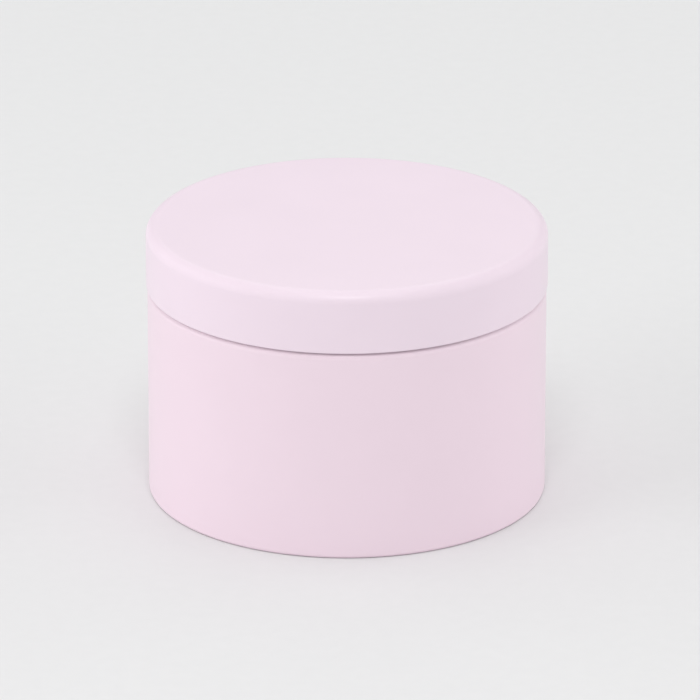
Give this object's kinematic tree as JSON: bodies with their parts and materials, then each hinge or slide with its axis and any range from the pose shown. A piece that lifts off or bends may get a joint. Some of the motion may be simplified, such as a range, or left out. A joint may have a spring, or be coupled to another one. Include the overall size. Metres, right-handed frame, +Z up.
{
  "type": "candle tin",
  "caption": "Round seamless slip-lid candle tin: a drawn tinplate body with a shouldered neck and rolled rim, and a flat-topped lift-off lid with a hemmed skirt.",
  "frame": {"origin": "centre of the tin's footprint, on the surface that it stands on", "axes": "+Z up along the tin's axis, through the middle of the lid; +X and +Y are alike, because the tin is turned"},
  "size_m": [0.08, 0.08, 0.0558],
  "materials": {
    "pink_coating": "satin"
  },
  "bodies": {
    "tin": {"tin_body": "pink_coating"},
    "lid": {"lid": "pink_coating"}
  },
  "joints": [
    {"name": "lid_lift", "type": "slide", "parent": "tin", "child": "lid", "axis": [0, 0, 1], "range_m": [0, 0.05]}
  ]
}
